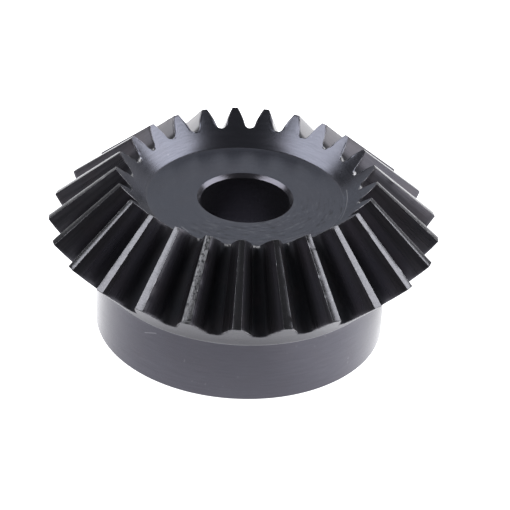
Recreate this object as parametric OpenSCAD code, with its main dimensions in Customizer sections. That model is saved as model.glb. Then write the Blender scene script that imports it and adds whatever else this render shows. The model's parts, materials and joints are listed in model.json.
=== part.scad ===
// Straight bevel gear of the mitre kind, with a plain hub, a plain bore and two radial set screws.
//
// The gear's axis is Z. The hub's end face lies on Z = 0 and the teeth point up and inwards.
// One tooth is centred on the -Y axis. The set screws sit at 45 degrees either side of +Y.
// Every tooth surface runs towards one point, the apex of the pitch cone.

/* [Teeth] */
// Module at the large end of the teeth
gear_module = 2; // [1.9:0.05:2.1]
// Number of teeth
tooth_count = 25; // [24:1:26]
// Pressure angle, in degrees
pressure_angle = 22.5; // [20:0.5:24]
// Half-angle of the pitch cone, in degrees
pitch_angle = 45; // [44:0.5:46]
// Length of a tooth along the pitch cone
face_width = 12; // [10:0.5:13]
// Tooth height above the pitch cone at the large end, in modules
addendum = 1; // [0.9:0.05:1]
// Tooth depth below the pitch cone at the large end, in modules
dedendum = 1.2; // [1.15:0.05:1.25]
// Radius at the foot of a tooth at the large end, in modules
root_fillet = 0.5; // [0.35:0.01:0.52]
// Thickness taken off each tooth for backlash, at the large end
backlash = 0.15; // [0:0.05:0.2]
// Edge break along both sides of a tooth's tip, at the large end
tip_break = 0.12; // [0.05:0.01:0.14]
// Edge break at both ends of a tooth's tip
end_break = 0.15; // [0.15:0.05:0.4]

/* [Body] */
// Height of the pitch cone's apex above the hub's end face: the mounting distance
mounting_distance = 39.1; // [38.6:0.1:40]
// Diameter of the hub
hub_d = 39.4; // [37:0.2:40.4]
// Height of the floor of the front recess above the hub's end face
recess_floor_height = 19.4; // [18:0.2:20.2]
// Diameter of the bore
bore_d = 12; // [8:0.5:16]
// Chamfer at both ends of the bore
bore_chamfer = 0.5; // [0.2:0.1:1]
// Edge break round the hub's end face
hub_break = 0.2; // [0.1:0.1:0.6]

/* [Set screws] */
// Thread diameter of the set screws
screw_d = 5; // [4:1:5]
// Length of a set screw
screw_length = 12; // [8:2:12]
// Height of the screws' axes above the hub's end face
screw_height = 4.4; // [3.6:0.1:5]
// Angle of each screw from the +Y axis, in degrees
screw_angle = 45; // [30:5:60]
// Gap between a screw's point and the bore: one turn of its thread
screw_setback = 0.8; // [0.1:0.1:1]
// Gap between a screw's thread crests and its hole, on the radius
thread_clearance = 0.05; // [0.02:0.01:0.1]
// Width across the flats of the hexagon socket
socket_width = 2.5; // [2:0.5:2.5]
// Depth of the hexagon socket
socket_depth = 3; // [2:0.5:3.5]

/* [Hidden] */
$fn = 120;
OVERLAP = 1;
FLANK_STEPS = 7;
FILLET_STEPS = 5;
DEG = 180 / PI;

hub_r = hub_d / 2;
bore_r = bore_d / 2;
pitch_r = gear_module * tooth_count / 2;
cone_distance = pitch_r / sin(pitch_angle);
toe_scale = (cone_distance - face_width) / cone_distance;

// The back cone, unrolled flat, holds an ordinary spur gear profile about the point virtual_r away.
virtual_r = pitch_r / cos(pitch_angle);
base_r = virtual_r * cos(pressure_angle);
tip_r = virtual_r + addendum * gear_module;
root_r = virtual_r - dedendum * gear_module;
quarter_pitch = gear_module * PI / 4 / virtual_r * DEG;
base_gap_angle = quarter_pitch - involute(pressure_angle) + backlash / 2 / virtual_r * DEG;

// The fillet touches the root circle and the flank, so its centre lies on a line of action.
// The two fillets of a gap almost meet, and keep at least this angle from its middle.
LEAST_ROOT_ANGLE = 0.05;
fillet_r = root_fillet * gear_module;
fillet_centre_r = root_r + fillet_r;
fillet_reach = sqrt(fillet_centre_r ^ 2 - base_r ^ 2);
contact_reach = fillet_reach - fillet_r;
contact_r = sqrt(base_r ^ 2 + contact_reach ^ 2);
touching_angle = base_gap_angle + contact_reach / base_r * DEG - atan(fillet_reach / base_r);
fillet_angle = max(touching_angle, LEAST_ROOT_ANGLE);

function involute(angle) = tan(angle) * DEG - angle;

function polar(r, angle) = r * [sin(angle), cos(angle)];

// Flank of the gap at radius r, as a point on the unrolled back cone
function flank(r) = polar(r, base_gap_angle + involute(acos(base_r / r)));

// Point on the cone at a distance along it from the apex and a height above it, as [radius, z]
function cone_point(along, height) = [
    along * sin(pitch_angle) + height * cos(pitch_angle),
    mounting_distance - along * cos(pitch_angle) + height * sin(pitch_angle)
];

// One side of a tooth gap on the unrolled back cone, from the root up past the tip's edge break
function half_gap() =
    let (
        centre = polar(fillet_centre_r, fillet_angle),
        contact = flank(contact_r) - centre,
        start = -90 - fillet_angle,
        end = atan2(contact.y, contact.x),
        break_r = tip_r - tip_break,
        edge = flank(break_r)
    )
    concat(
        [for (i = [0 : FILLET_STEPS]) let (a = start + (end - start) * i / FILLET_STEPS)
            centre + fillet_r * [cos(a), sin(a)]],
        [for (i = [1 : FLANK_STEPS]) flank(contact_r + (break_r - contact_r) * i / FLANK_STEPS)],
        [edge + (tip_break + OVERLAP / 2) * [1, 1]]
    );

// The whole gap, from the tip on one side through the root to the tip on the other
function gap_outline() =
    let (right = half_gap(), last = len(right) - 1)
    concat([for (i = [last : -1 : 0]) [-right[i].x, right[i].y]], right);

// Direction from the apex through a point of the unrolled back cone, for a gap that faces -Y
function ray(point) =
    let (
        r = norm(point),
        height = r - virtual_r,
        reach = pitch_r + height * cos(pitch_angle),
        drop = pitch_r / tan(pitch_angle) - height * sin(pitch_angle),
        angle = atan2(point.x, point.y) * r / reach
    )
    [reach * sin(angle), -reach * cos(angle), -drop];

// Where a ray meets the plane across the gap at a distance from the apex
function cut(direction, distance) =
    direction * distance / (direction * [0, -sin(pitch_angle), -cos(pitch_angle)]);

// The space between two teeth, longer than the face at both ends
module tooth_gap() {
    rays = [for (point = gap_outline()) ray(point)];
    count = len(rays);
    small_end = [for (r = rays) cut(r, cone_distance - face_width - 2 * OVERLAP)];
    large_end = [for (r = rays) cut(r, cone_distance + 2 * OVERLAP)];
    // Point i and point count - 1 - i mirror each other, so each end is a ladder of flat quads.
    sides = [for (i = [0 : count - 1]) let (next = (i + 1) % count)
        [i, count + i, count + next, next]];
    ladder = [for (i = [0 : count / 2 - 2]) [i, i + 1, count - 2 - i, count - 1 - i]];
    polyhedron(
        points = concat(small_end, large_end),
        faces = concat(
            sides,
            ladder,
            [for (quad = ladder) [for (i = [3 : -1 : 0]) count + quad[i]]]
        )
    );
}

// Everything that a lathe cuts: hub, back cone, face cone, front cone, recess and bore
module turned_blank() {
    heel = cone_point(cone_distance, addendum * gear_module);
    toe = cone_point(cone_distance - face_width, addendum * gear_module * toe_scale);
    face_direction = (heel - toe) / norm(heel - toe);
    down_the_cone = [cos(pitch_angle), sin(pitch_angle)];
    hub_corner_z = heel.y - (heel.x - hub_r) * tan(pitch_angle);
    recess_r = toe.x - (toe.y - recess_floor_height) / tan(pitch_angle);
    rotate_extrude() polygon([
        [bore_r + bore_chamfer, 0],
        [hub_r - hub_break, 0],
        [hub_r, hub_break],
        [hub_r, hub_corner_z],
        heel - end_break * down_the_cone,
        heel - end_break * face_direction,
        toe + end_break * toe_scale * face_direction,
        toe - end_break * toe_scale * down_the_cone,
        [recess_r, recess_floor_height],
        [bore_r + bore_chamfer, recess_floor_height],
        [bore_r, recess_floor_height - bore_chamfer],
        [bore_r, bore_chamfer]
    ]);
}

// Turns a piece that points along +Z into a set screw's place, pointing out of the hub
module radial_place(angle_from_back) {
    rotate([0, 0, 90 + angle_from_back]) translate([0, 0, screw_height]) rotate([0, 90, 0])
        children();
}

module screw_hole() {
    screw_r = screw_d / 2;
    mouth = 0.4;
    translate([0, 0, bore_r - OVERLAP]) cylinder(h = hub_r - bore_r + 2 * OVERLAP, r = screw_r);
    translate([0, 0, hub_r - mouth]) cylinder(h = 2 * mouth, r1 = screw_r, r2 = screw_r + 2 * mouth);
}

module gear_body() {
    color("#3b3b42") difference() {
        turned_blank();
        for (i = [0 : tooth_count - 1])
            rotate([0, 0, (i + 0.5) * 360 / tooth_count])
                translate([0, 0, mounting_distance]) tooth_gap();
        radial_place(screw_angle) screw_hole();
        radial_place(-screw_angle) screw_hole();
    }
}

// A set screw with a cup point at the bore and a hexagon socket at its outer end
module set_screw(angle_from_back) {
    crest_r = screw_d / 2 - thread_clearance;
    cup_r = screw_d / 4;
    cup_depth = 0.6;
    end_chamfer = 0.5;
    color("#2c2c30") radial_place(angle_from_back) translate([0, 0, bore_r + screw_setback])
        difference() {
            rotate_extrude() polygon([
                [0, cup_depth],
                [cup_r, 0],
                [crest_r, crest_r - cup_r],
                [crest_r, screw_length - end_chamfer],
                [crest_r - end_chamfer, screw_length],
                [0, screw_length]
            ]);
            translate([0, 0, screw_length - socket_depth])
                cylinder(h = socket_depth + OVERLAP, d = socket_width / cos(30), $fn = 6);
        }
}

module set_screw_left() {
    set_screw(screw_angle);
}

module set_screw_right() {
    set_screw(-screw_angle);
}

gear_body();
set_screw_left();
set_screw_right();
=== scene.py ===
"""A straight bevel gear and its two set screws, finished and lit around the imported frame.

Lengths are in metres in the frame's axes. Z is the gear's axis, the hub stands on Z = 0, and one
tooth is centred on -Y. An azimuth is measured from -Y towards +X.
"""

import json
import math

import bmesh
import bpy
import numpy as np
from mathutils import Matrix, Vector, noise


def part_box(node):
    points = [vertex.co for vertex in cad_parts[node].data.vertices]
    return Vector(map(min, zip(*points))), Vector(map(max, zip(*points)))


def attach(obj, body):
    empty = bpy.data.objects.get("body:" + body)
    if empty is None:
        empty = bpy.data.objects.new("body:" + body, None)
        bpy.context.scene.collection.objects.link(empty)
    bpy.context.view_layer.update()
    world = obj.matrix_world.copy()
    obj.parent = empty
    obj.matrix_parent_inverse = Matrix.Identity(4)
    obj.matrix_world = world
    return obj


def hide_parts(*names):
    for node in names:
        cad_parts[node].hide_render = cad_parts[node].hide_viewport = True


MM = 0.001
TURN = 2 * math.pi

# ---- Camera ---------------------------------------------------------------------------------

CAMERA_TARGET = Vector((1.75, 0, 10.36)) * MM
CAMERA_DISTANCE = 361.3 * MM
CAMERA_TILT = math.radians(32.12)
CAMERA_ROLL = math.radians(3.307)
CAMERA_LENS = 187.14
CAMERA_SENSOR = 36
CAMERA_NEAR = 0.01
CAMERA_FAR = 20


def make_camera():
    data = bpy.data.cameras.new("camera")
    data.sensor_width = CAMERA_SENSOR
    data.lens = CAMERA_LENS
    data.clip_start = CAMERA_NEAR
    data.clip_end = CAMERA_FAR
    camera = bpy.data.objects.new("camera", data)
    turn = Matrix.Rotation(math.pi / 2 - CAMERA_TILT, 4, "X") @ Matrix.Rotation(CAMERA_ROLL, 4, "Z")
    back_off = Matrix.Translation((0, 0, CAMERA_DISTANCE))
    camera.matrix_world = Matrix.Translation(CAMERA_TARGET) @ turn @ back_off
    bpy.context.scene.collection.objects.link(camera)
    bpy.context.scene.camera = camera


make_camera()
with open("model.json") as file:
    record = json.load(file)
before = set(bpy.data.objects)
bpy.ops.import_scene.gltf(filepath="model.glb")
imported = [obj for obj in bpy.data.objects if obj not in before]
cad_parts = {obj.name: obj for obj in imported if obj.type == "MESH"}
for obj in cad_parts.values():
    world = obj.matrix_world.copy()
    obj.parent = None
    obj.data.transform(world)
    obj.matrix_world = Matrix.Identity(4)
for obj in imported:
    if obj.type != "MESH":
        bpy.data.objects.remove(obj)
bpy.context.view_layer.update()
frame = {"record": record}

# ---- Dimensions, as in the CAD --------------------------------------------------------------

MODULE = 2 * MM
TEETH = 25
PRESSURE_ANGLE = math.radians(22.5)
PITCH_ANGLE = math.radians(45)
FACE_WIDTH = 12 * MM
ADDENDUM = 1 * MODULE
DEDENDUM = 1.2 * MODULE
ROOT_FILLET = 0.5 * MODULE
BACKLASH = 0.15 * MM
MOUNTING_DISTANCE = 39.1 * MM
HUB_RADIUS = 19.7 * MM
HUB_BREAK = 0.2 * MM
BORE_CHAMFER = 0.5 * MM

mounts = {mount["name"]: mount for mount in frame["record"]["mounts"]}
BORE_RADIUS = mounts["bore"]["dims"]["r_mm"] * MM
FLOOR_HEIGHT = mounts["recess_face"]["pos_m"][2]

screw_low, screw_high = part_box("set_screw_left")
SCREW_HEIGHT = (screw_low.z + screw_high.z) / 2
SCREW_AZIMUTH = {"left": math.radians(225), "right": math.radians(135)}
SCREW_SETBACK = 0.8 * MM
SCREW_START = BORE_RADIUS + SCREW_SETBACK
SCREW_LENGTH = 12 * MM
SCREW_CREST = 2.45 * MM
HOLE_RADIUS = 2.5 * MM
HOLE_ROOT = 2.1 * MM
THREAD_PITCH = 0.8 * MM
HEX_FLATS = 2.5 * MM
HEX_DEPTH = 3 * MM
CUP_RADIUS = 1.25 * MM
CUP_DEPTH = 0.6 * MM
SCREW_END_CHAMFER = 0.5 * MM
HOLE_MOUTH_DEPTH = 0.4 * MM

# Edge roundings, which only the visual model has
TIP_ROUNDING = 0.13 * MM
END_ROUNDING = 0.15 * MM
EDGE_ROUNDING = 0.06 * MM
NECK_ROUNDING = 0.3 * MM
RECESS_ROUNDING = 0.35 * MM

pitch_radius = MODULE * TEETH / 2
cone_distance = pitch_radius / math.sin(PITCH_ANGLE)
toe_scale = (cone_distance - FACE_WIDTH) / cone_distance
virtual_radius = pitch_radius / math.cos(PITCH_ANGLE)
base_radius = virtual_radius * math.cos(PRESSURE_ANGLE)
tip_radius = virtual_radius + ADDENDUM
root_radius = virtual_radius - DEDENDUM
base_gap_angle = (
    (MODULE * math.pi / 4 + BACKLASH / 2) / virtual_radius - math.tan(PRESSURE_ANGLE) + PRESSURE_ANGLE
)


# ---- The tooth outline on the unrolled back cone --------------------------------------------

# Spans of a half outline, from the middle of a tooth's tip land to the middle of the next gap
LAND_STEPS = 1
TIP_STEPS = 2
FLANK_STEPS = 4
FILLET_STEPS = 4
ROOT_STEPS = 1


def on_line_of_action(reach, roll_reach):
    """Polar place at a reach along the line of action that touches the flank at roll_reach."""
    angle = base_gap_angle + roll_reach / base_radius - math.atan(reach / base_radius)
    return math.hypot(base_radius, reach), angle


def reach_at(radius):
    return math.sqrt(radius**2 - base_radius**2)


def arc_points(centre, radius, start, end, steps):
    """Polar places along an arc. Its start and end are directions, as angles from +Y to +X."""
    centre_x, centre_y = centre[0] * math.sin(centre[1]), centre[0] * math.cos(centre[1])
    places = []
    for i in range(steps + 1):
        angle = start + (end - start) * i / steps
        x, y = centre_x + radius * math.sin(angle), centre_y + radius * math.cos(angle)
        places.append((math.hypot(x, y), math.atan2(x, y)))
    return places


def direction(start, end):
    """Angle from +Y to +X of the step between two polar places."""
    x = end[0] * math.sin(end[1]) - start[0] * math.sin(start[1])
    y = end[0] * math.cos(end[1]) - start[0] * math.cos(start[1])
    return math.atan2(x, y)


def half_outline(inset):
    """Polar places from the middle of a tooth to the middle of the next gap.

    All of them are moved into the metal by inset.
    """
    corner_reach = reach_at(tip_radius - TIP_ROUNDING)
    tip_reach = corner_reach + TIP_ROUNDING
    fillet_reach = reach_at(root_radius + ROOT_FILLET)
    foot_reach = fillet_reach - ROOT_FILLET

    corner = on_line_of_action(corner_reach, tip_reach)
    top = on_line_of_action(tip_reach - inset, tip_reach)
    foot = on_line_of_action(foot_reach - inset, foot_reach)
    fillet = on_line_of_action(fillet_reach, foot_reach)

    middle = math.pi / TEETH * math.cos(PITCH_ANGLE)
    land = corner[1] - middle
    places = [(tip_radius - inset, middle + land * i / LAND_STEPS) for i in range(LAND_STEPS)]
    places += arc_points(corner, TIP_ROUNDING - inset, corner[1], direction(corner, top), TIP_STEPS)
    for i in range(1, FLANK_STEPS):
        reach = tip_reach + (foot_reach - tip_reach) * i / FLANK_STEPS
        places.append(on_line_of_action(reach - inset, reach))
    toward_foot = direction(fillet, foot)
    places += arc_points(fillet, ROOT_FILLET + inset, toward_foot, math.pi + fillet[1], FILLET_STEPS)
    for i in range(1, ROOT_STEPS + 1):
        places.append((root_radius - inset, fillet[1] * (1 - i / ROOT_STEPS)))
    return places


def wheel_outline(inset):
    """Radius on the unrolled cone and azimuth of every column, all round the wheel."""
    half = np.array(half_outline(inset))
    down, up = half, half[-2:0:-1]
    radius = np.concatenate([down[:, 0], up[:, 0]])
    from_gap = np.concatenate([-down[:, 1], up[:, 1]]) / math.cos(PITCH_ANGLE)
    gap_azimuth = (np.arange(TEETH) + 0.5) * TURN / TEETH
    azimuth = (gap_azimuth[:, None] + from_gap[None, :]).ravel()
    return np.tile(radius, TEETH), azimuth


# Rows along a tooth, and rows round the rounded edge at each of its ends
ROWS_ALONG = 34
END_STEPS = 3
BAND_ROWS = ROWS_ALONG + 1 + 2 * END_STEPS
HALF_COLUMNS = LAND_STEPS + TIP_STEPS + FLANK_STEPS + FILLET_STEPS + ROOT_STEPS
COLUMNS = 2 * HALF_COLUMNS * TEETH
EVEN_AZIMUTH = np.arange(COLUMNS) * TURN / COLUMNS


def on_cone(scale, unrolled_radius):
    """Radius and height of a place on the back cone, scaled towards the apex."""
    height = unrolled_radius - virtual_radius
    drop = pitch_radius / math.tan(PITCH_ANGLE) - height * math.sin(PITCH_ANGLE)
    return scale * unrolled_radius * math.cos(PITCH_ANGLE), MOUNTING_DISTANCE - scale * drop


def outline_row(scale, inset):
    """One row of points round all the teeth, at a scale between the toe and the heel."""
    unrolled, azimuth = wheel_outline(inset)
    radius, z = on_cone(scale, unrolled)
    return radius, z, azimuth


def end_rows(scale, ring_radius, fractions):
    """Rows on the cone at one end of the teeth, from their outline in to an even ring."""
    outline, azimuth = wheel_outline(END_ROUNDING)
    for fraction in fractions:
        unrolled = outline + (ring_radius - outline) * fraction
        radius, z = on_cone(scale, unrolled)
        yield radius, z, azimuth + (EVEN_AZIMUTH - azimuth) * fraction


def edge_rows(end_scale, away):
    """Rows round the rounded edge at an end of the teeth. The first is on the end face."""
    depth = END_ROUNDING * end_scale / cone_distance
    for i in range(END_STEPS + 1):
        angle = math.pi / 2 * (1 - i / END_STEPS)
        scale = end_scale + away * depth * (1 - math.sin(angle))
        yield outline_row(scale, END_ROUNDING * (1 - math.cos(angle)))


# ---- The turned outline ---------------------------------------------------------------------

CORNER_STEPS = 3


def rounded_corner(before, corner, after, rounding):
    """Points round a corner of a turned outline, each (radius, z)."""
    corner = Vector(corner)
    to_before = (Vector(before) - corner).normalized()
    to_after = (Vector(after) - corner).normalized()
    if rounding == 0:
        return [corner]
    half_angle = to_before.angle(to_after) / 2
    centre = corner + (to_before + to_after).normalized() * rounding / math.sin(half_angle)
    start = (corner + to_before * rounding / math.tan(half_angle) - centre).normalized()
    end = (corner + to_after * rounding / math.tan(half_angle) - centre).normalized()
    return [centre + start.slerp(end, i / CORNER_STEPS) * rounding for i in range(CORNER_STEPS + 1)]


def turned_rows(corners):
    """Rows down a turned outline. Each corner is (radius, z, rounding, rows to the next corner)."""
    path = []
    for i, (radius, z, rounding, _) in enumerate(corners):
        if 0 < i < len(corners) - 1:
            points = rounded_corner(corners[i - 1][:2], (radius, z), corners[i + 1][:2], rounding)
        else:
            points = [Vector((radius, z))]
        if path:
            last, rows = path[-1], corners[i - 1][3]
            path += [last.lerp(points[0], k / rows) for k in range(1, rows)]
        path += points
    return [(np.full(COLUMNS, p.x), np.full(COLUMNS, p.y), EVEN_AZIMUTH) for p in path]


# ---- Rings and screw threads, about a +Z axis -----------------------------------------------

AROUND = 60
AROUND_ANGLE = np.arange(AROUND) * TURN / AROUND
COSINE = np.cos(AROUND_ANGLE)
SINE = np.sin(AROUND_ANGLE)

# The ISO thread: the height of its sharp triangle, and the crest's flat as a share of the pitch
THREAD_HEIGHT = THREAD_PITCH * math.sqrt(3) / 2
THREAD_DEPTH = THREAD_HEIGHT * 5 / 8
CREST_FLAT = 1 / 8
ROWS_PER_TURN = 8
# Turns of the helix past each end of a tube, which are pressed flat onto the end
SPARE_TURNS = 1.5


def ring(radius, distance):
    """A ring of points. Its radius and its distance along the axis may change round it."""
    return np.stack([radius * COSINE, radius * SINE, distance * np.ones(AROUND)], -1)


def add_rings(points, rings):
    """The points with the rings after them, and each ring's indices."""
    starts = [len(points) + i * AROUND for i in range(len(rings))]
    return np.concatenate([points, *rings]), [list(range(start, start + AROUND)) for start in starts]


def bands(rings):
    """Quads between each ring of indices and the next."""
    faces = []
    for first, second in zip(rings, rings[1:]):
        for j in range(AROUND):
            k = (j + 1) % AROUND
            faces.append((first[j], first[k], second[k], second[j]))
    return faces


def thread_radius(distance, angle, crest, root):
    """Radius of a right-hand thread at a distance along its axis and an angle about it."""
    phase = (distance / THREAD_PITCH - angle / TURN) % 1
    from_crest = np.minimum(phase, 1 - phase)
    return np.clip(crest + THREAD_HEIGHT * (CREST_FLAT - 2 * from_crest), root, crest)


def thread_tube(start, end, radius_at):
    """Points and faces of a tube between two distances, whose rows follow a helix."""
    turns = (np.max(end) - np.min(start)) / THREAD_PITCH
    rows = int((turns + 2 * SPARE_TURNS) * ROWS_PER_TURN)
    first_turn = math.floor((np.min(start) - SPARE_TURNS * THREAD_PITCH) / THREAD_PITCH)
    row = np.arange(rows + 1)[:, None]
    turn = row / ROWS_PER_TURN + np.arange(AROUND)[None, :] / AROUND
    distance = np.clip(first_turn * THREAD_PITCH + THREAD_PITCH * turn, start, end)
    radius = radius_at(distance, AROUND_ANGLE[None, :])
    points = np.stack([radius * COSINE, radius * SINE, distance], -1)
    faces = []
    for i in range(rows):
        for j in range(AROUND):
            # Past the last column, a row goes on as the row one turn further along.
            if j + 1 < AROUND:
                right, right_up = i * AROUND + j + 1, (i + 1) * AROUND + j + 1
            else:
                right, right_up = (i + ROWS_PER_TURN) * AROUND, (i + 1 + ROWS_PER_TURN) * AROUND
            if right_up < (rows + 1) * AROUND:
                faces.append((i * AROUND + j, right, right_up, (i + 1) * AROUND + j))
    return points.reshape(-1, 3), faces


def screw_axes(azimuth):
    """Outward, sideways and upward directions of a screw at an azimuth from -Y."""
    outward = np.array([math.sin(azimuth), -math.cos(azimuth), 0])
    upward = np.array([0, 0, 1.0])
    return outward, np.cross(upward, outward), upward


def place_radial(points, azimuth):
    """Turns points about a +Z screw axis into a radial screw's place."""
    outward, sideways, upward = screw_axes(azimuth)
    points = np.asarray(points)
    placed = points[:, :1] * sideways + points[:, 1:2] * upward + points[:, 2:] * outward
    return placed + np.array([0, 0, SCREW_HEIGHT])


# ---- Mesh building --------------------------------------------------------------------------

MERGE_DISTANCE = 1e-7
SHARP_ANGLE = math.radians(50)


def make_piece(name, points, faces, material, body, node, values=None):
    """A closed, smooth-shaded piece that stands for a CAD node and rides on its body."""
    mesh = bpy.data.meshes.new(name)
    mesh.from_pydata([tuple(p) for p in points], [], faces)
    for value_name, numbers in (values or {}).items():
        padded = np.zeros(len(points), np.float32)
        padded[: len(numbers)] = numbers
        mesh.attributes.new(value_name, "FLOAT", "POINT").data.foreach_set("value", padded)
    bm = bmesh.new()
    bm.from_mesh(mesh)
    bmesh.ops.remove_doubles(bm, verts=bm.verts, dist=MERGE_DISTANCE)
    bmesh.ops.dissolve_degenerate(bm, edges=bm.edges, dist=MERGE_DISTANCE)
    bmesh.ops.recalc_face_normals(bm, faces=bm.faces)
    bm.to_mesh(mesh)
    bm.free()
    mesh.shade_smooth()
    mesh.set_sharp_from_angle(angle=SHARP_ANGLE)
    piece = bpy.data.objects.new(name, mesh)
    bpy.context.scene.collection.objects.link(piece)
    weighted = piece.modifiers.new("even_normals", "WEIGHTED_NORMAL")
    weighted.keep_sharp = True
    mesh.materials.append(material)
    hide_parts(node)
    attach(piece, body)


def zip_loops(outer, outer_angle, inner, inner_angle):
    """Triangles between two closed loops that run the same way round."""
    outer_angle, inner_angle = np.asarray(outer_angle) % TURN, np.asarray(inner_angle) % TURN
    outer = [outer[i] for i in np.argsort(outer_angle)]
    inner = [inner[i] for i in np.argsort(inner_angle)]
    outer_angle, inner_angle = np.sort(outer_angle), np.sort(inner_angle)
    faces = []
    i = j = 0
    while i < len(outer) or j < len(inner):
        next_outer = outer_angle[(i + 1) % len(outer)] + (i + 1 >= len(outer)) * TURN
        next_inner = inner_angle[(j + 1) % len(inner)] + (j + 1 >= len(inner)) * TURN
        a, b = outer[i % len(outer)], inner[j % len(inner)]
        if j >= len(inner) or (i < len(outer) and next_outer <= next_inner):
            faces.append((a, outer[(i + 1) % len(outer)], b))
            i += 1
        else:
            faces.append((a, inner[(j + 1) % len(inner)], b))
            j += 1
    return faces


# ---- Finishes -------------------------------------------------------------------------------

METALLIC = 0.9


class NodeTree:
    """Short calls for building a shader. An input is a number, a colour or a node's output."""

    def __init__(self, material):
        material.use_nodes = True
        self.tree = material.node_tree
        self.shader = self.tree.nodes["Principled BSDF"]

    def link(self, socket, value):
        if isinstance(value, bpy.types.NodeSocket):
            self.tree.links.new(value, socket)
        elif socket.type == "RGBA":
            socket.default_value = (*value, 1)
        else:
            socket.default_value = value

    def node(self, kind, output, inputs, **settings):
        made = self.tree.nodes.new("ShaderNode" + kind)
        for name, value in settings.items():
            setattr(made, name, value)
        for name, value in inputs.items():
            self.link(made.inputs[name], value)
        return made.outputs[output]

    def attribute(self, name):
        return self.node("Attribute", "Fac", {}, attribute_name=name)

    def math(self, operation, a, b=0.0):
        return self.node("Math", "Value", {0: a, 1: b}, operation=operation)

    def times(self, a, b):
        return self.math("MULTIPLY", a, b)

    def plus(self, a, b):
        return self.math("ADD", a, b)

    def vector(self, x, y, z):
        return self.node("CombineXYZ", "Vector", {"X": x, "Y": y, "Z": z})

    def dot(self, a, b):
        return self.node("VectorMath", "Value", {0: a, 1: b}, operation="DOT_PRODUCT")

    def noise(self, place, scale, detail=2.0, roughness=0.5):
        """Noise from 0 to 1. The scale is how fast it changes for each unit of the place."""
        inputs = {"Vector": place, "Scale": scale, "Detail": detail, "Roughness": roughness}
        return self.node("TexNoise", "Fac", inputs)

    def ramp(self, value, low, high, to_low, to_high):
        """The value's stretch from low to high, carried over smoothly to another stretch."""
        inputs = {
            "Value": value, "From Min": low, "From Max": high, "To Min": to_low, "To Max": to_high
        }
        return self.node("MapRange", "Result", inputs, interpolation_type="SMOOTHSTEP")

    def mix(self, factor, a, b):
        inputs = {"Factor": factor, "A": a, "B": b}
        return self.node("Mix", "Result", inputs, data_type="FLOAT")

    def mix_colour(self, factor, a, b):
        made = self.tree.nodes.new("ShaderNodeMix")
        made.data_type = "RGBA"
        for socket, value in ((made.inputs[0], factor), (made.inputs[6], a), (made.inputs[7], b)):
            self.link(socket, value)
        return made.outputs[2]

    def bump(self, height, distance, normal=None):
        inputs = {"Height": height, "Strength": 1.0, "Distance": distance}
        if normal:
            inputs["Normal"] = normal
        return self.node("Bump", "Normal", inputs)


# Scratches on the recess wall, the recess floor and the hub: brightness, then places in millimetres
WALL_SCRATCH = [
    (13.6, 2.6, 19.9), (13.7, 0.9, 19.8), (13.6, -1.2, 19.7), (13.3, -3.0, 19.7), (12.8, -5.2, 19.9)
]
SCRATCHES = [
    [1.0, *WALL_SCRATCH],
    [0.7, (-8.1, -8.5, 19.4), (-7.2, -9.6, 19.4)],
    [0.4, (-12.15, -15.5, 7.05), (-11.4, -16.06, 7.42), (-10.66, -16.57, 7.75)],
]
SCRATCH_WIDTH = 0.12 * MM


def scratch_mask(t, place):
    """How bright a scratch is, and nothing away from the scratches."""
    mask = 0.0
    for brightness, *stops in SCRATCHES:
        for start, end in zip(stops, stops[1:]):
            start, end = Vector(start) * MM, Vector(end) * MM
            along, half_length = (end - start).normalized(), (end - start).length / 2
            middle = (start + end) / 2
            offset = t.node("VectorMath", "Vector", {0: place, 1: middle}, operation="SUBTRACT")
            sideways = t.node("VectorMath", "Vector", {0: offset, 1: along}, operation="CROSS_PRODUCT")
            off_line = t.node("VectorMath", "Value", {0: sideways}, operation="LENGTH")
            past_end = t.math("SUBTRACT", t.math("ABSOLUTE", t.dot(offset, along)), half_length)
            near = t.ramp(off_line, 0.0, SCRATCH_WIDTH, 1.0, 0.0)
            within = t.ramp(past_end, 0.0, SCRATCH_WIDTH, brightness, 0.0)
            mask = t.math("MAXIMUM", mask, t.times(near, within))
    return mask


# Values that the gear's mesh holds at each point, for the shader
MESH_VALUES = (
    "cut", "edge", "rough", "land", "floor", "back_cone", "front_cone", "burr", "lathe", "across", "gap"
)


def surface_place(t):
    """Where a point lies on the gear: its place, its direction from the axis and the mesh's values."""
    at = {name: t.attribute(name) for name in MESH_VALUES}
    at["place"] = t.node("TexCoord", "Object", {})
    split = t.tree.nodes.new("ShaderNodeSeparateXYZ")
    t.link(split.inputs[0], at["place"])
    x, y = split.outputs["X"], split.outputs["Y"]
    radius = t.math("SQRT", t.plus(t.times(x, x), t.times(y, y)))
    at.update(x=x, y=y, around_x=t.math("DIVIDE", x, radius), around_y=t.math("DIVIDE", y, radius))
    return at


def tool_marks(t, at):
    """Noise drawn out along the lathe's marks, which run round the gear, and the tooth cutter's.

    The numbers are how fast the noise changes across the marks, for each millimetre, and along them.
    """

    def turning(per_mm_across, along, detail):
        around_x, around_y = t.times(at["around_x"], along), t.times(at["around_y"], along)
        place = t.vector(t.times(at["lathe"], per_mm_across), around_x, around_y)
        return t.noise(place, 1.0, detail, 0.6)

    cutter_place = t.vector(
        t.times(at["across"], 3.5), t.times(at["gap"], 7.3), t.times(at["lathe"], 0.12)
    )
    return {
        "fine": turning(9.0, 6.0, 3.0),
        "broad": turning(2.2, 1.5, 2.0),
        "arcs": turning(2.6, 5.5, 2.0),
        "cutter": t.noise(cutter_place, 1.0, 3.0, 0.6),
    }


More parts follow.
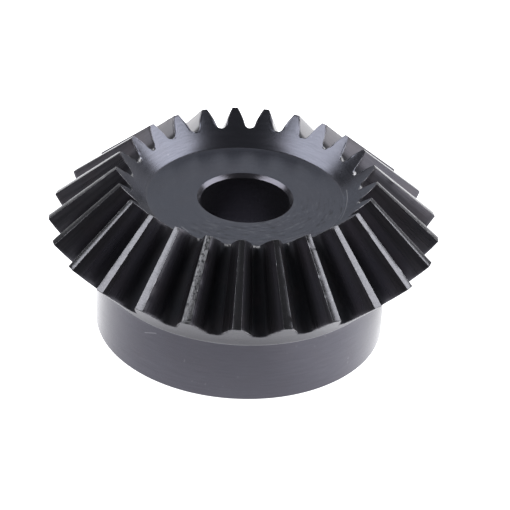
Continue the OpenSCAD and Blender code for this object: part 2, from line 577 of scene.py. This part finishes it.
def wear_and_shade_masks(t, at, marks, pits):
    """How strongly each mark, and the painted shade at the tooth roots, shows at a point, from 0 to 1."""
    place, x, y = at["place"], at["x"], at["y"]
    to_front_right = t.plus(t.times(x, 0.4), t.times(y, -0.92))
    torn_floor = t.times(t.ramp(to_front_right, 1 * MM, 8 * MM, 0.15, 1.0), at["floor"])
    to_the_right = t.ramp(x, 9 * MM, 12.5 * MM, 0.0, 1.0)
    right_wall = t.times(t.times(to_the_right, t.ramp(y, 1 * MM, 4.5 * MM, 1.0, 0.0)), at["front_cone"])
    near_root = t.ramp(t.math("ABSOLUTE", at["across"]), 0.8, 2.1, 1.0, 0.0)
    blotches = t.ramp(t.noise(place, 260.0, 3.0), 0.4, 0.7, 0.0, 0.5)
    deep_pits = t.ramp(t.noise(place, 2800.0, 3.0, 0.6), 0.52, 0.62, 0.0, 0.85)
    dots = t.ramp(t.noise(place, 2300.0, 1.0), 0.755, 0.78, 0.0, 0.3)
    return {
        "dark_arcs": t.times(t.ramp(marks["arcs"], 0.32, 0.46, 1.0, 0.0), torn_floor),
        "light_arcs": t.times(t.ramp(marks["arcs"], 0.56, 0.68, 0.0, 1.0), torn_floor),
        # The root mask darkens the colour there as painted shade, and dulls the roughness.
        "root": t.times(at["cut"], near_root),
        "scuffed": right_wall,
        "scuff_dots": t.times(right_wall, t.ramp(pits, 0.4, 0.6, 0.4, 1.0)),
        "stain": t.times(blotches, t.mix(at["cut"], 0.15, 0.6)),
        # Lighter patches along the tooth edges.
        "light_edges": t.times(at["edge"], t.ramp(t.noise(place, 1900.0, 3.0), 0.45, 0.6, 0.1, 0.7)),
        "pitted": t.times(at["rough"], deep_pits),
        "specks": t.times(dots, t.mix(at["cut"], 1.0, 0.3)),
        "scratch": scratch_mask(t, place),
    }


def steel_colour(t, at, marks, wear_and_shade):
    """Colour of the blackened steel, with painted shade at the tooth roots and a painted reflection on the
    back cone. The later layers lie over the earlier ones.
    """
    grooves = t.ramp(marks["fine"], 0.3, 0.7, 0.0, 1.0)
    cutter_lines = t.ramp(marks["cutter"], 0.4, 0.65, 0.0, 1.0)
    mottle = t.ramp(t.mix(0.6, marks["fine"], t.noise(at["place"], 3800.0, 1.0)), 0.35, 0.65, 0.0, 1.0)
    colour = t.mix_colour(grooves, (0.073, 0.072, 0.087), (0.085, 0.084, 0.101))
    layers = [
        (at["land"], t.mix_colour(mottle, (0.074, 0.075, 0.084), (0.092, 0.093, 0.103))),
        (at["floor"], (0.070, 0.076, 0.099)),
        (at["front_cone"], t.mix_colour(grooves, (0.070, 0.073, 0.091), (0.086, 0.089, 0.110))),
        (at["cut"], t.mix_colour(cutter_lines, (0.062, 0.061, 0.072), (0.074, 0.072, 0.084))),
        # Painted shade: the roots of the tooth gaps are darkened.
        (t.times(wear_and_shade["root"], 0.7), (0.026, 0.029, 0.036)),
        # Painted reflection: the back cone is coloured much lighter, as if it reflected a bright surround.
        (at["back_cone"], t.mix_colour(mottle, (0.18, 0.18, 0.195), (0.22, 0.22, 0.235))),
        (wear_and_shade["scuff_dots"], (0.125, 0.136, 0.168)),
        (wear_and_shade["stain"], (0.078, 0.066, 0.072)),
        # Lighter, patchy colour along the tooth edges.
        (wear_and_shade["light_edges"], (0.19, 0.19, 0.205)),
        (t.times(at["rough"], 0.8), (0.135, 0.137, 0.147)),
        (wear_and_shade["pitted"], (0.012, 0.012, 0.014)),
        (t.times(wear_and_shade["dark_arcs"], 0.65), (0.035, 0.038, 0.048)),
        (t.times(wear_and_shade["light_arcs"], 0.5), (0.14, 0.147, 0.17)),
        (t.times(at["burr"], 0.9), (0.5, 0.5, 0.52)),
        (wear_and_shade["specks"], (0.2, 0.2, 0.22)),
        (t.times(wear_and_shade["scratch"], 0.75), (0.36, 0.36, 0.39)),
    ]
    for mask, layer in layers:
        colour = t.mix_colour(mask, colour, layer)
    return colour


def steel_roughness(t, at, marks, wear_and_shade):
    """Roughness of the blackened steel: glossy where it was turned, dull at the foot of the teeth."""
    turned = t.ramp(marks["broad"], 0.3, 0.7, 0.23, 0.26)
    roughness = t.mix(at["cut"], turned, t.ramp(marks["cutter"], 0.3, 0.7, 0.27, 0.33))
    layers = [
        (at["back_cone"], 0.48),
        (wear_and_shade["root"], 0.8),
        (at["rough"], 0.36),
        (wear_and_shade["scuffed"], 0.5),
        (at["burr"], 0.35),
    ]
    for mask, layer in layers:
        roughness = t.mix(mask, roughness, layer)
    return roughness


def steel_normal(t, at, marks, wear_and_shade, pits):
    """Surface direction of the blackened steel: tool marks, grain, pits and scratches, with depths."""
    turning = t.times(marks["fine"], t.mix(t.math("MAXIMUM", at["floor"], at["back_cone"]), 0.5, 2.2))
    normal = None
    for height, depth in (
        (t.mix(at["cut"], turning, marks["cutter"]), 0.006 * MM),
        (t.noise(at["place"], 6500.0, 2.0), 0.002 * MM),
        (t.times(at["rough"], pits), 0.09 * MM),
        (t.times(at["edge"], pits), 0.03 * MM),
        (t.math("SUBTRACT", wear_and_shade["light_arcs"], wear_and_shade["dark_arcs"]), 0.008 * MM),
        (wear_and_shade["scratch"], 0.02 * MM),
    ):
        normal = t.bump(height, depth, normal)
    return normal


def blackened_steel():
    """Blackened steel: turned faces with fine tool marks, duller tooth gaps with painted shade at their
    roots, a painted reflection on the back cone, and patchy lighter edges.
    """
    material = bpy.data.materials.new("blackened_steel")
    t = NodeTree(material)
    at = surface_place(t)
    marks = tool_marks(t, at)
    pits = t.noise(at["place"], 3300.0, 3.0, 0.6)
    wear_and_shade = wear_and_shade_masks(t, at, marks, pits)
    t.link(t.shader.inputs["Base Color"], steel_colour(t, at, marks, wear_and_shade))
    t.link(t.shader.inputs["Roughness"], steel_roughness(t, at, marks, wear_and_shade))
    t.link(t.shader.inputs["Normal"], steel_normal(t, at, marks, wear_and_shade, pits))
    t.shader.inputs["Metallic"].default_value = METALLIC
    return material


def screw_steel():
    """The set screws' blacker, slightly duller finish, with a grain from rolling and hardening."""
    material = bpy.data.materials.new("screw_steel")
    t = NodeTree(material)
    place = t.node("TexCoord", "Object", {})
    blotches = t.noise(place, 900.0, 4.0)
    patches = t.ramp(blotches, 0.35, 0.65, 0.0, 1.0)
    colour = t.mix_colour(patches, (0.052, 0.052, 0.056), (0.078, 0.076, 0.08))
    t.link(t.shader.inputs["Base Color"], colour)
    t.link(t.shader.inputs["Roughness"], t.ramp(blotches, 0.3, 0.7, 0.3, 0.42))
    t.link(t.shader.inputs["Normal"], t.bump(t.noise(place, 7000.0, 2.0), 0.003 * MM))
    t.shader.inputs["Metallic"].default_value = METALLIC
    return material


# ---- The gear's surface ---------------------------------------------------------------------

# Both ends of the teeth lead to an even ring below the roots, by rows at these shares of the way.
RING_BELOW_ROOT = 0.5 * MM
TO_RING = [0.08, 0.2, 0.35, 0.5, 0.65, 0.8, 0.92, 1]
# Rows from the heel of the teeth down to the hub
BACK_CONE_ROWS = 13
SAME_HEIGHT = 0.01 * MM

# The tooth to the left of the front one has a rough tip.
ROUGH_TOOTH = TEETH - 1

# Patches of the grid that a screw's hole takes the place of: half height, rows, half width
HUB_PATCH = 3.5 * MM
HUB_PATCH_ROWS = 12
HUB_PATCH_COLUMNS = 17
BORE_PATCH = 3.1 * MM
BORE_PATCH_ROWS = 10
BORE_PATCH_COLUMNS = 50


def gear_rows():
    """Every row of the gear's surface, in order round its cross-section."""
    rows = []
    ring_radius = root_radius - END_ROUNDING - RING_BELOW_ROOT

    # Along the teeth, from the toe to the heel
    rows += list(edge_rows(toe_scale, 1))
    start = toe_scale * (1 + END_ROUNDING / cone_distance)
    end = 1 - END_ROUNDING / cone_distance
    rows += [outline_row(start + (end - start) * i / ROWS_ALONG, 0) for i in range(1, ROWS_ALONG)]
    rows += list(edge_rows(1, -1))[::-1]
    rows += list(end_rows(1, ring_radius, TO_RING[:-1]))

    # Down the back cone, the hub and its end face, up the bore and out across the recess
    heel_ring = on_cone(1, ring_radius)
    toe_ring = on_cone(toe_scale, ring_radius)
    hub_corner_z = heel_ring[1] - (heel_ring[0] - HUB_RADIUS)
    recess_radius = toe_ring[0] - (toe_ring[1] - FLOOR_HEIGHT)
    rows += turned_rows([
        (*heel_ring, 0, 3),
        (HUB_RADIUS, hub_corner_z, NECK_ROUNDING, 1),
        (HUB_RADIUS, SCREW_HEIGHT + HUB_PATCH, 0, HUB_PATCH_ROWS),
        (HUB_RADIUS, SCREW_HEIGHT - HUB_PATCH, 0, 2),
        (HUB_RADIUS, HUB_BREAK, EDGE_ROUNDING, 1),
        (HUB_RADIUS - HUB_BREAK, 0, EDGE_ROUNDING, 6),
        (BORE_RADIUS + BORE_CHAMFER, 0, EDGE_ROUNDING, 1),
        (BORE_RADIUS, BORE_CHAMFER, EDGE_ROUNDING, 1),
        (BORE_RADIUS, SCREW_HEIGHT - BORE_PATCH, 0, BORE_PATCH_ROWS),
        (BORE_RADIUS, SCREW_HEIGHT + BORE_PATCH, 0, 6),
        (BORE_RADIUS, FLOOR_HEIGHT - BORE_CHAMFER, EDGE_ROUNDING, 1),
        (BORE_RADIUS + BORE_CHAMFER, FLOOR_HEIGHT, EDGE_ROUNDING, 7),
        (recess_radius, FLOOR_HEIGHT, RECESS_ROUNDING, 2),
        (*toe_ring, 0, 0),
    ])
    rows += list(end_rows(toe_scale, ring_radius, TO_RING[-2::-1]))
    return rows


def around_the_wheel(half_row):
    """A value for each column, from its values over a half outline."""
    half_row = np.asarray(half_row, float)
    return np.tile(np.concatenate([half_row, half_row[-2:0:-1]]), TEETH)


def surface_values(rows):
    """What the shader needs to know of each point of the grid, with lengths in millimetres."""
    half = np.array(half_outline(0))
    x, y = half[:, 0] * np.sin(half[:, 1]), half[:, 0] * np.cos(half[:, 1])
    steps = np.hypot(np.diff(x), np.diff(y))
    from_root = np.concatenate([np.cumsum(steps[::-1])[::-1], [0]]) / MM
    across = np.tile(np.concatenate([-from_root, from_root[-2:0:-1]]), TEETH)
    half_column = np.arange(HALF_COLUMNS + 1)
    on_flank = around_the_wheel(np.clip((half_column - LAND_STEPS) / TIP_STEPS, 0, 1))
    on_land = around_the_wheel(half_column <= LAND_STEPS + 1)
    on_corner = around_the_wheel(half_column == LAND_STEPS + 1)
    tooth = np.round(np.arange(COLUMNS) / (2 * HALF_COLUMNS)) % TEETH
    gap = np.repeat(np.arange(TEETH), 2 * HALF_COLUMNS)

    middles = np.array([(row[0].mean(), row[1].mean()) for row in rows])
    lathe = np.concatenate([[0], np.cumsum(np.hypot(*np.diff(middles, axis=0).T))]) / MM
    row_number = np.arange(len(rows))[:, None]
    is_band = (row_number > 0) & (row_number < BAND_ROWS - 1)
    is_end = np.isin(row_number, [1, 2, BAND_ROWS - 3, BAND_ROWS - 2])
    off_floor = [np.ptp(row[1]) + abs(row[1][0] - FLOOR_HEIGHT) for row in rows]
    on_floor = np.array(off_floor) < SAME_HEIGHT
    on_front_cone = row_number[:, 0] > np.flatnonzero(on_floor)[-1]
    on_back_cone = (row_number[:, 0] >= BAND_ROWS) & (row_number[:, 0] < BAND_ROWS + BACK_CONE_ROWS)
    ones = np.ones((len(rows), COLUMNS))
    return {
        "cut": (is_band * on_flank).ravel(),
        "edge": np.maximum(is_end * ones, is_band * on_corner).ravel(),
        "rough": (is_band * on_land * (tooth == ROUGH_TOOTH)).ravel(),
        "land": (is_band * on_land).ravel(),
        "across": (ones * across).ravel(),
        "gap": (ones * gap).ravel(),
        "lathe": (lathe[:, None] * ones).ravel(),
        "floor": (on_floor[:, None] * ones).ravel(),
        "back_cone": (on_back_cone[:, None] * ones).ravel(),
        "front_cone": (on_front_cone[:, None] * ones).ravel(),
    }


# ---- Small faults of the steel --------------------------------------------------------------

# Heights, and how fast each kind of fault changes along the surface
ROUGH_HEIGHT = 0.035 * MM
ROUGH_PER_MM = 2.3
NICK_DEPTH = 0.09 * MM
NICK_START = 0.25
NICK_PER_MM = 1.7
RAGGED_HEIGHT = 0.1 * MM
RAGGED_PER_MM = 3.1
RAGGED_ROWS = 4
RAGGED_COLUMNS = 8

# Burrs left at the foot of a gap's small end: the gap, columns off its middle, and the burr's
# radius and height in millimetres
BURRS = [
    (0, -3, 0.22, 0.20), (0, -1, 0.26, 0.22), (0, 2, 0.20, 0.15), (1, 2, 0.20, 0.12),
    (5, 0, 0.24, 0.22), (6, 0, 0.28, 0.22), (6, 2, 0.20, 0.15), (7, 0, 0.38, 0.34),
    (8, -1, 0.34, 0.26), (8, 2, 0.26, 0.20), (9, 0, 0.26, 0.20), (16, 0, 0.28, 0.20),
    (17, -2, 0.30, 0.25), (17, 1, 0.30, 0.28), (17, 3, 0.30, 0.26), (17, 6, 0.24, 0.24),
    (17, 8, 0.30, 0.30), (17, 10, 0.30, 0.20), (18, 2, 0.28, 0.24), (18, -1, 0.20, 0.15),
    (23, 0, 0.20, 0.12), (24, -2, 0.24, 0.18), (24, 1, 0.26, 0.20), (24, 3, 0.20, 0.15),
]
LARGEST_BURR = 0.38
BURR_UNEVENNESS = 0.35
BURR_PER_MM = 2.7
# The row that the burrs sit on, and the rows and the columns each way that they may reach
BURR_ROW = 1
ROWS_NEAR_BURR = range(-7, 6)
COLUMNS_NEAR_BURR = 6


def noise_at(point, per_mm, shift=(0, 0, 0)):
    """Smooth noise between -1 and 1, the same at each run. A shift sets one use apart from another."""
    return noise.noise(Vector(point) / MM * per_mm + Vector(shift))


def grid_normals(grid):
    """Outward direction at each point of the grid."""
    down = np.roll(grid, -1, 0) - np.roll(grid, 1, 0)
    along_row = np.roll(grid, -1, 1) - np.roll(grid, 1, 1)
    normal = np.cross(along_row, down)
    return normal / np.linalg.norm(normal, axis=2, keepdims=True)


def fault_heights(grid, values):
    """How far the rough tip, the nicked edges and the ragged small ends stand out at each point."""
    shape = grid.shape[:2]
    rough, edge = (values[name].reshape(shape) for name in ("rough", "edge"))
    off_gap_middle = np.abs(np.arange(COLUMNS) % (2 * HALF_COLUMNS) - HALF_COLUMNS)
    row_number = np.arange(shape[0])
    from_toe = np.minimum(row_number, shape[0] - row_number)
    ragged = np.maximum(0, 1 - from_toe / RAGGED_ROWS)[:, None] * (off_gap_middle < RAGGED_COLUMNS)
    height = np.zeros(shape)
    for i, j in np.argwhere((rough > 0) | (edge > 0) | (ragged > 0)):
        place = grid[i, j]
        height[i, j] = (
            rough[i, j] * ROUGH_HEIGHT * noise_at(place, ROUGH_PER_MM)
            - edge[i, j] * NICK_DEPTH * max(0, noise_at(place, NICK_PER_MM, (7, 0, 0)) - NICK_START)
            + ragged[i, j] * RAGGED_HEIGHT * noise_at(place, RAGGED_PER_MM, (0, 11, 0))
        )
    return height


def raise_burrs(grid, normal):
    """Lifts the burrs out of the grid, and gives how much of a burr each point is."""
    burr = np.zeros(grid.shape[:2])
    for gap, off_middle, radius, height in BURRS:
        middle = (2 * gap + 1) * HALF_COLUMNS + off_middle
        centre, lift = grid[BURR_ROW, middle].copy(), normal[BURR_ROW, middle]
        for row in ROWS_NEAR_BURR:
            for column in range(middle - COLUMNS_NEAR_BURR, middle + COLUMNS_NEAR_BURR + 1):
                offset = Vector(grid[row, column] - centre) / MM
                unevenness = BURR_UNEVENNESS * noise_at(grid[row, column], BURR_PER_MM)
                size = radius * (1 + unevenness)
                share = max(0, 1 - (offset.length / size) ** 2)
                grid[row, column] += lift * height * MM * share
                brightness = min(1, 2 * share) * radius / LARGEST_BURR
                burr[row, column] = max(burr[row, column], brightness)
    return burr


# ---- The gear body --------------------------------------------------------------------------

# Rings round a screw hole's ends, off the edge of its mouth or off its wall
MOUTH_EDGE = 0.04 * MM
MOUTH_EDGE_DROP = 0.012 * MM
MOUTH_RIM = 0.3 * MM
BORE_END_RIM = 0.15 * MM
SETTLING_ROUNDS = 12


def row_at(z, radius, rows):
    """Index of the row at a height and a radius."""
    miss = [abs(row[1][0] - z) + abs(row[0][0] - radius) + np.ptp(row[1]) for row in rows]
    return int(np.argmin(miss))


def hole_patches(rows, azimuth):
    """Edges of the grid's patches round a screw hole's ends: top, bottom, left and right, by radius."""
    hub_top = row_at(SCREW_HEIGHT + HUB_PATCH, HUB_RADIUS, rows)
    bore_bottom = row_at(SCREW_HEIGHT - BORE_PATCH, BORE_RADIUS, rows)
    column = round(azimuth / TURN * COLUMNS)
    hub_sides = column - HUB_PATCH_COLUMNS, column + HUB_PATCH_COLUMNS
    bore_sides = column - BORE_PATCH_COLUMNS, column + BORE_PATCH_COLUMNS
    return {
        HUB_RADIUS: (hub_top, hub_top + HUB_PATCH_ROWS, *hub_sides),
        BORE_RADIUS: (bore_bottom, bore_bottom + BORE_PATCH_ROWS, *bore_sides),
    }


def patch_loop(top, bottom, left, right):
    """Grid places (row, column) round the edge of a rectangular patch."""
    loop = [(top, column) for column in range(left, right)]
    loop += [(row, right) for row in range(top, bottom)]
    loop += [(bottom, column) for column in range(right, left, -1)]
    loop += [(row, left) for row in range(bottom, top, -1)]
    return loop


def grid_faces(row_count, patches):
    """Quads of the closed grid, apart from those in the patches."""
    removed = set()
    for top, bottom, left, right in patches:
        removed |= {(i, j) for i in range(top, bottom) for j in range(left, right)}
    faces = []
    for i in range(row_count):
        this_row, next_row = i * COLUMNS, (i + 1) % row_count * COLUMNS
        for j in range(COLUMNS):
            if (i, j) not in removed:
                k = (j + 1) % COLUMNS
                faces.append((this_row + j, next_row + j, next_row + k, this_row + k))
    return faces


def distance_to(surface_radius, ring_radius):
    """Distance along a radial axis at which a ring about it meets a cylinder round the gear's axis."""
    return np.sqrt(surface_radius**2 - (ring_radius * COSINE) ** 2)


def ring_on(surface_radius, ring_radius):
    return ring(ring_radius, distance_to(surface_radius, ring_radius))


def screw_hole():
    """A threaded hole about +Z: its tube, the tube's faces, and the rings at its ends by radius."""
    inner_distance = distance_to(BORE_RADIUS, HOLE_RADIUS)
    thread_end = HUB_RADIUS - HOLE_MOUTH_DEPTH
    # The mouth's cone meets the hub at a radius and a distance that depend on each other.
    mouth = HOLE_RADIUS
    for _ in range(SETTLING_ROUNDS):
        mouth = HOLE_RADIUS + HOLE_MOUTH_DEPTH + distance_to(HUB_RADIUS, mouth) - HUB_RADIUS

    def hole_radius(distance, angle):
        thread = thread_radius(distance, angle, HOLE_RADIUS, HOLE_ROOT)
        flare_out = HOLE_RADIUS + distance - thread_end
        flare_in = HOLE_RADIUS - distance + inner_distance
        return np.maximum(thread, np.maximum(flare_out, flare_in))

    tube, tube_faces = thread_tube(inner_distance, thread_end, hole_radius)
    end_rings = {
        HUB_RADIUS: [
            ring(HOLE_RADIUS, thread_end),
            ring_on(HUB_RADIUS, mouth - MOUTH_EDGE) - [0, 0, MOUTH_EDGE_DROP],
            ring_on(HUB_RADIUS, mouth + MOUTH_EDGE),
            ring_on(HUB_RADIUS, mouth + MOUTH_RIM),
        ],
        BORE_RADIUS: [
            ring_on(BORE_RADIUS, HOLE_RADIUS),
            ring_on(BORE_RADIUS, HOLE_RADIUS + BORE_END_RIM),
        ],
    }
    return tube, tube_faces, end_rings


def add_hole(points, faces, azimuth, patches):
    """The gear's points with a screw hole's after them. The hole's faces are added to the gear's."""
    _, sideways, upward = screw_axes(azimuth)
    tube, tube_faces, end_rings = screw_hole()
    start = len(points)
    points = np.concatenate([points, place_radial(tube, azimuth)])
    faces += [tuple(start + v for v in face) for face in tube_faces]
    for surface_radius, rings in end_rings.items():
        points, ids = add_rings(points, [place_radial(each, azimuth) for each in rings])
        faces += bands(ids)
        loop = [row * COLUMNS + column for row, column in patch_loop(*patches[surface_radius])]
        from_axis = points[loop] - np.array([0, 0, SCREW_HEIGHT])
        loop_angle = np.arctan2(from_axis @ upward, from_axis @ sideways)
        faces += zip_loops(loop, loop_angle, ids[-1], AROUND_ANGLE)
    return points


def make_gear(material):
    rows = gear_rows()
    values = surface_values(rows)
    radius, z, azimuth = (np.stack([row[i] for row in rows]) for i in range(3))
    grid = np.stack([radius * np.sin(azimuth), -radius * np.cos(azimuth), z], -1)
    normal = grid_normals(grid)
    grid += normal * fault_heights(grid, values)[:, :, None]
    values["burr"] = raise_burrs(grid, normal).ravel()

    points = grid.reshape(-1, 3)
    patches = {azimuth: hole_patches(rows, azimuth) for azimuth in SCREW_AZIMUTH.values()}
    faces = grid_faces(len(rows), [edges for by_radius in patches.values() for edges in by_radius.values()])
    for screw_azimuth, by_radius in patches.items():
        points = add_hole(points, faces, screw_azimuth, by_radius)
    make_piece("bevel_gear_body", points, faces, material, "gear", "gear_body", values)


# ---- The set screws -------------------------------------------------------------------------

# Edges of the socket and the cup, and the drilled point below the socket
HEX_CORNERS = HEX_FLATS / math.cos(math.pi / 6)
HEX_RIM = 0.12 * MM
HEX_EDGE_ROUNDING = 0.02 * MM
HEX_CHAMFER_DEPTH = 0.1 * MM
DRILL_POINT_DEPTH = 0.5 * MM
CUP_EDGE_OUT = 0.03 * MM
CUP_EDGE_IN = 0.04 * MM


def make_screw(side, material):
    """A hexagon-socket set screw with a cup point, threaded all along."""
    root = SCREW_CREST - THREAD_DEPTH
    point_length = root - CUP_RADIUS
    outer_end = SCREW_START + SCREW_LENGTH
    end_radius = SCREW_CREST - SCREW_END_CHAMFER

    def screw_radius(distance, angle):
        thread = thread_radius(distance, angle, SCREW_CREST, root)
        point_cone = CUP_RADIUS + distance - SCREW_START
        end_cone = end_radius + outer_end - distance
        return np.minimum(thread, np.minimum(point_cone, end_cone))

    off_flat_middle = (AROUND_ANGLE + math.pi / 6) % (math.pi / 3) - math.pi / 6
    hexagon = HEX_FLATS / 2 / np.cos(off_flat_middle)
    # Rings from the screw's outer end in to the socket's bottom, and from its point in to the cup's
    socket = [
        (end_radius, 0),
        (HEX_CORNERS / 2 + HEX_RIM, 0),
        (hexagon + HEX_EDGE_ROUNDING, -HEX_CHAMFER_DEPTH),
        (hexagon, -HEX_CHAMFER_DEPTH - EDGE_ROUNDING),
        (hexagon, -HEX_DEPTH * 0.5),
        (hexagon, -HEX_DEPTH),
        (hexagon * 0.55, -HEX_DEPTH - DRILL_POINT_DEPTH / 2),
        (hexagon * 0.05, -HEX_DEPTH - DRILL_POINT_DEPTH),
    ]
    cup = [
        (root, point_length),
        (CUP_RADIUS + CUP_EDGE_OUT, CUP_EDGE_OUT),
        (CUP_RADIUS - CUP_EDGE_IN, 0),
        (CUP_RADIUS * 0.5, CUP_DEPTH * 0.5),
        (CUP_RADIUS * 0.05, CUP_DEPTH * 0.95),
    ]
    points, faces = thread_tube(SCREW_START + point_length, outer_end, screw_radius)
    for rings, base in ((socket, outer_end), (cup, SCREW_START)):
        points, ids = add_rings(points, [ring(radius, base + offset) for radius, offset in rings])
        faces += bands(ids)
        faces.append(tuple(ids[-1]))
    node = f"set_screw_{side}"
    placed = place_radial(points, SCREW_AZIMUTH[side])
    make_piece(f"socket_{node}", placed, faces, material, f"screw_{side}", node)


# ---- Studio ---------------------------------------------------------------------------------

# Lamps: name, azimuth and elevation in degrees, width and height in metres, radiance
SOFTBOXES = [
    ("softbox_left", -79, 45, 0.60, 0.33, 5.0),
    ("softbox_right", 95, 37, 0.56, 0.36, 5.2),
    ("low_panel_right", 84, 9, 0.50, 0.20, 2.0),
]
LAMP_DISTANCE = 0.6
PAPER_REACH = 3.0
PAPER_FRONT = -0.11
ROOM_GLOW = 0.085
WALL_GLOW = 0.8


def softbox(name, azimuth, elevation, width, height, radiance):
    """An area lamp that faces the gear. Azimuth is from the camera's side, towards +X."""
    data = bpy.data.lights.new(name, "AREA")
    data.shape = "RECTANGLE"
    data.size, data.size_y = width, height
    data.energy = radiance * math.pi * width * height
    lamp = bpy.data.objects.new(name, data)
    azimuth, elevation = math.radians(azimuth), math.radians(elevation)
    level = math.cos(elevation)
    back = Vector((math.sin(azimuth) * level, -math.cos(azimuth) * level, math.sin(elevation)))
    turn = back.to_track_quat("Z", "Y").to_matrix().to_4x4()
    lamp.matrix_world = Matrix.Translation(back * LAMP_DISTANCE) @ turn
    bpy.context.scene.collection.objects.link(lamp)


def white_paper():
    """Paper that glows enough to lose the shadows, more so behind the gear and to its right."""
    material = bpy.data.materials.new("white_paper")
    t = NodeTree(material)
    t.shader.inputs["Base Color"].default_value = (0.1, 0.1, 0.1, 1)
    t.shader.inputs["Roughness"].default_value = 0.9
    t.shader.inputs["Specular IOR Level"].default_value = 0
    t.shader.inputs["Emission Color"].default_value = (0.985, 0.985, 1, 1)
    place = t.node("TexCoord", "Object", {})
    back = t.dot(place, (0, 1, 0))
    right = t.dot(place, (1, 0, 0))
    far_right = t.dot(place, (0.9, 0.43, 0))
    under_gear = t.ramp(back, -0.034, 0.004, 1.15, 2.0)
    near_right = t.times(t.ramp(right, 0.005, 0.02, 0.0, 1.0), t.ramp(back, -0.01, 0.004, 0.5, -0.3))
    to_the_right = t.plus(near_right, t.ramp(far_right, 0.03, 0.12, 0.0, 0.85))
    far_back = t.ramp(back, 0.05, 0.3, 0.0, -0.7)
    t.link(t.shader.inputs["Emission Strength"], t.plus(t.plus(under_gear, to_the_right), far_back))
    return material


def make_floor():
    mesh = bpy.data.meshes.new("floor")
    side, front, back = PAPER_REACH, PAPER_FRONT, PAPER_REACH
    corners = [(-side, front, 0), (side, front, 0), (side, back, 0), (-side, back, 0)]
    mesh.from_pydata(corners, [], [(0, 1, 2, 3)])
    mesh.materials.append(white_paper())
    floor = bpy.data.objects.new("floor", mesh)
    bpy.context.scene.collection.objects.link(floor)


def make_world():
    """A dim room with a pale wall behind. What the camera sees beyond the floor is plain white."""
    world = bpy.data.worlds.new("studio")
    world.use_nodes = True
    nodes, links = world.node_tree.nodes, world.node_tree.links
    direction_of_ray = nodes.new("ShaderNodeTexCoord").outputs["Generated"]
    backward = nodes.new("ShaderNodeVectorMath")
    backward.operation = "DOT_PRODUCT"
    backward.inputs[1].default_value = (0, 1, 0.4)
    links.new(direction_of_ray, backward.inputs[0])
    wall = nodes.new("ShaderNodeMapRange")
    wall.interpolation_type = "SMOOTHSTEP"
    settings = {"From Min": 0.7, "From Max": 0.86, "To Min": ROOM_GLOW, "To Max": WALL_GLOW}
    for name, value in settings.items():
        wall.inputs[name].default_value = value
    links.new(backward.outputs["Value"], wall.inputs["Value"])
    brightest = nodes.new("ShaderNodeMath")
    brightest.operation = "MAXIMUM"
    links.new(wall.outputs["Result"], brightest.inputs[0])
    links.new(nodes.new("ShaderNodeLightPath").outputs["Is Camera Ray"], brightest.inputs[1])
    background = nodes["Background"]
    background.inputs["Color"].default_value = (1, 1, 1, 1)
    links.new(brightest.outputs["Value"], background.inputs["Strength"])
    bpy.context.scene.world = world
    bpy.context.scene.view_settings.view_transform = "Standard"


def make_studio():
    for lamp in SOFTBOXES:
        softbox(*lamp)
    make_floor()
    make_world()


make_gear(blackened_steel())
screw_finish = screw_steel()
for screw_side in SCREW_AZIMUTH:
    make_screw(screw_side, screw_finish)
make_studio()

bpy.context.view_layer.update()
